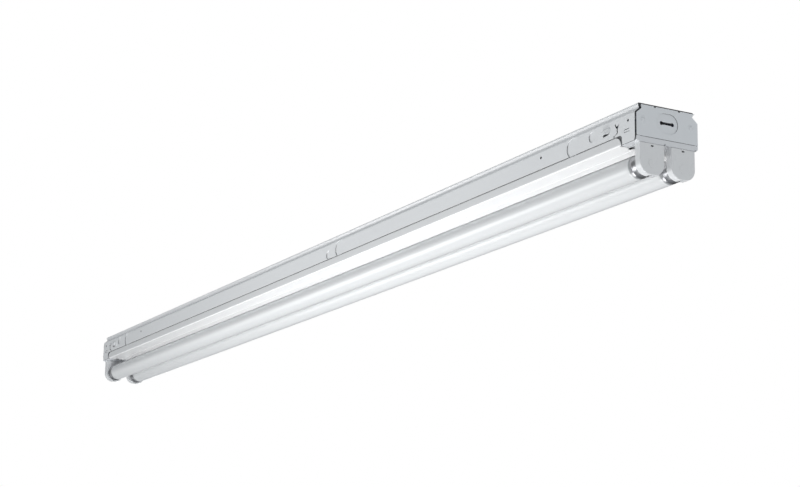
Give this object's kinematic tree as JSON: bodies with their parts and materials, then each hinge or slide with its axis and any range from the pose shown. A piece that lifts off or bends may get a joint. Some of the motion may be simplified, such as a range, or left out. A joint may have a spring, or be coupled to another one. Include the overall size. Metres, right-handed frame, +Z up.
{
  "type": "fluorescent light fixture",
  "caption": "Long ceiling strip light: folded steel channel with a clip-on cover, end plates and rotary lampholders that carry parallel fluorescent tubes underneath.",
  "frame": {"origin": "centre of the channel's ceiling face, midway between the two ceiling screw holes", "axes": "+X along the lamps towards the near end in the picture, +Y away from the viewer, +Z up into the ceiling"},
  "size_m": [1.525, 0.083, 0.0735],
  "materials": {
    "channel_paint": "white baked enamel on folded sheet steel",
    "cover_paint": "white baked enamel, slightly glossy",
    "end_plate_paint": "white baked enamel on a pressed plate",
    "bracket_paint": "white baked enamel on a folded bracket",
    "bushing_nylon": "black nylon",
    "holder_plastic": "white moulded polycarbonate",
    "contact_bronze": "sprung phosphor bronze",
    "rotor_plastic": "white moulded polyester",
    "lamp_glass": "clear glass with a white powder coat inside",
    "cap_metal": "bright drawn aluminium",
    "insulator_board": "pressed insulating board",
    "pin_metal": "plated brass",
    "cathode_glass": "glass stem with a coated tungsten coil",
    "ballast_steel": "plain zinc-coated steel",
    "ballast_paint": "white enamel on a drawn steel can",
    "circuit_board": "green circuit board",
    "coil_tape": "yellow tape over copper wire and ferrite",
    "capacitor_sleeve": "dark plastic sleeve",
    "zinc_screw": "zinc-plated steel",
    "lead_blue": "blue wire insulation",
    "lead_red": "red wire insulation",
    "clip_steel": "zinc-plated spring steel",
    "lead_black": "black wire insulation",
    "connector_plastic": "orange moulded plastic",
    "lead_green": "green wire insulation",
    "green_screw": "green-dyed zinc-plated steel"
  },
  "bodies": {
    "housing": {"channel": "channel_paint", "end_plate_near": "end_plate_paint", "end_plate_far": "end_plate_paint", "holder_bracket_near": "bracket_paint", "holder_bracket_far": "bracket_paint", "supply_bushing": "bushing_nylon", "holder_body_near_front": "holder_plastic", "holder_body_near_rear": "holder_plastic", "holder_body_far_front": "holder_plastic", "holder_body_far_rear": "holder_plastic", "holder_lid_near_front": "holder_plastic", "holder_lid_near_rear": "holder_plastic", "holder_lid_far_front": "holder_plastic", "holder_lid_far_rear": "holder_plastic", "contacts_near_front": "contact_bronze", "contacts_near_rear": "contact_bronze", "contacts_far_front": "contact_bronze", "contacts_far_rear": "contact_bronze", "ballast_base": "ballast_steel", "ballast_can": "ballast_paint", "ballast_board": "circuit_board", "ballast_coils": "coil_tape", "ballast_capacitors": "capacitor_sleeve", "ballast_screws": "zinc_screw", "lamp_leads_near": "lead_blue", "lamp_leads_far": "lead_red", "lead_clips": "clip_steel", "supply_leads": "lead_black", "wire_connectors": "connector_plastic", "ground_lead": "lead_green", "ground_screw": "green_screw"},
    "cover": {"channel_cover": "cover_paint"},
    "front_lamp": {"glass_tube_front": "lamp_glass", "lamp_cap_near_front": "cap_metal", "lamp_cap_far_front": "cap_metal", "cap_insulator_near_front": "insulator_board", "cap_insulator_far_front": "insulator_board", "lamp_pins_near_front": "pin_metal", "lamp_pins_far_front": "pin_metal", "cathode_near_front": "cathode_glass", "cathode_far_front": "cathode_glass", "rotor_near_front": "rotor_plastic", "rotor_far_front": "rotor_plastic"},
    "rear_lamp": {"glass_tube_rear": "lamp_glass", "lamp_cap_near_rear": "cap_metal", "lamp_cap_far_rear": "cap_metal", "cap_insulator_near_rear": "insulator_board", "cap_insulator_far_rear": "insulator_board", "lamp_pins_near_rear": "pin_metal", "lamp_pins_far_rear": "pin_metal", "cathode_near_rear": "cathode_glass", "cathode_far_rear": "cathode_glass", "rotor_near_rear": "rotor_plastic", "rotor_far_rear": "rotor_plastic"}
  },
  "joints": [
    {"name": "cover_release", "type": "slide", "parent": "housing", "child": "cover", "axis": [0, 0, -1], "range_m": [0, 0.006]},
    {"name": "front_lamp_twist", "type": "hinge", "parent": "housing", "child": "front_lamp", "pos_m": [0, -0.01905, -0.0602], "axis": [1, 0, 0], "range_deg": [0, 90]},
    {"name": "rear_lamp_twist", "type": "hinge", "parent": "housing", "child": "rear_lamp", "pos_m": [0, 0.01905, -0.0602], "axis": [1, 0, 0], "range_deg": [0, 90]}
  ]
}
